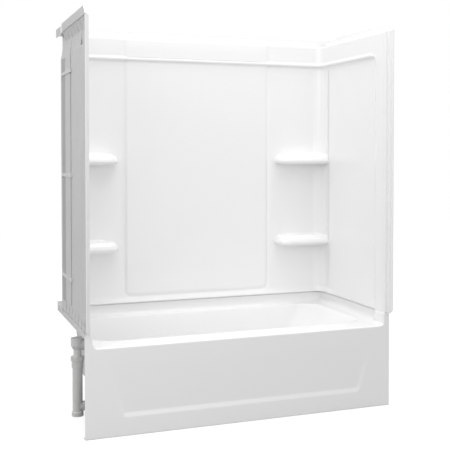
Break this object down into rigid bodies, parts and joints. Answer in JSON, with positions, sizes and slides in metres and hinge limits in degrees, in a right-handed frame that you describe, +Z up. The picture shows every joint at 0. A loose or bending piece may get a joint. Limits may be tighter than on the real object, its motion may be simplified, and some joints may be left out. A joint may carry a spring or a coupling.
{
  "type": "tub and shower combo",
  "caption": "Alcove bath with a plain apron, and glossy wall panels on its back and ends with corner shelves, with waste, overflow and a lift-and-turn stopper.",
  "frame": {"origin": "on the floor under the middle of the kit's outline", "axes": "+X along the bath away from its drain, +Y from the open front to the back wall, +Z up"},
  "size_m": [1.524, 0.799, 1.905],
  "materials": {
    "bath_composite": "high-gloss white moulded composite",
    "wall_composite": "glossy white moulded composite",
    "board_wood": "raw board",
    "foot_plastic": "matt",
    "strap_plastic": "matt white",
    "chrome": "polished",
    "rubber": "black",
    "washer_rubber": "dark grey",
    "pipe_plastic": "white drain pipe plastic",
    "steel": "bright",
    "brass": "turned",
    "sleeve_plastic": "natural nylon"
  },
  "bodies": {
    "unit": {"bath_rim": "bath_composite", "basin_drain_end": "bath_composite", "basin_backrest_end": "bath_composite", "bath_apron": "bath_composite", "base_board": "board_wood", "support_feet": "foot_plastic", "back_wall": "wall_composite", "left_end_wall": "wall_composite", "right_end_wall": "wall_composite", "left_joint_straps": "strap_plastic", "right_joint_straps": "strap_plastic", "drain_body": "chrome", "drain_gasket": "rubber", "drain_shoe": "pipe_plastic", "waste_arm": "pipe_plastic", "arm_slip_nut": "pipe_plastic", "arm_slip_washer": "washer_rubber", "waste_riser": "pipe_plastic", "riser_collar": "pipe_plastic", "overflow_slip_nut": "pipe_plastic", "overflow_slip_washer": "washer_rubber", "overflow_elbow": "pipe_plastic", "overflow_gasket": "rubber", "overflow_bracket": "steel", "overflow_plate": "chrome", "overflow_screws": "steel", "stopper_post": "brass"},
    "stopper_slide": {"stopper_sleeve": "sleeve_plastic"},
    "stopper_top": {"stopper_cap": "chrome", "stopper_seal": "rubber"}
  },
  "joints": [
    {"name": "stopper_lift", "type": "slide", "parent": "unit", "child": "stopper_slide", "axis": [0, 0, 1], "range_m": [0, 0.009]},
    {"name": "stopper_turn", "type": "hinge", "parent": "stopper_slide", "child": "stopper_top", "pos_m": [-0.53, 0.0185, 0.116], "axis": [0, 0, 1], "range_deg": [0, 90]}
  ]
}
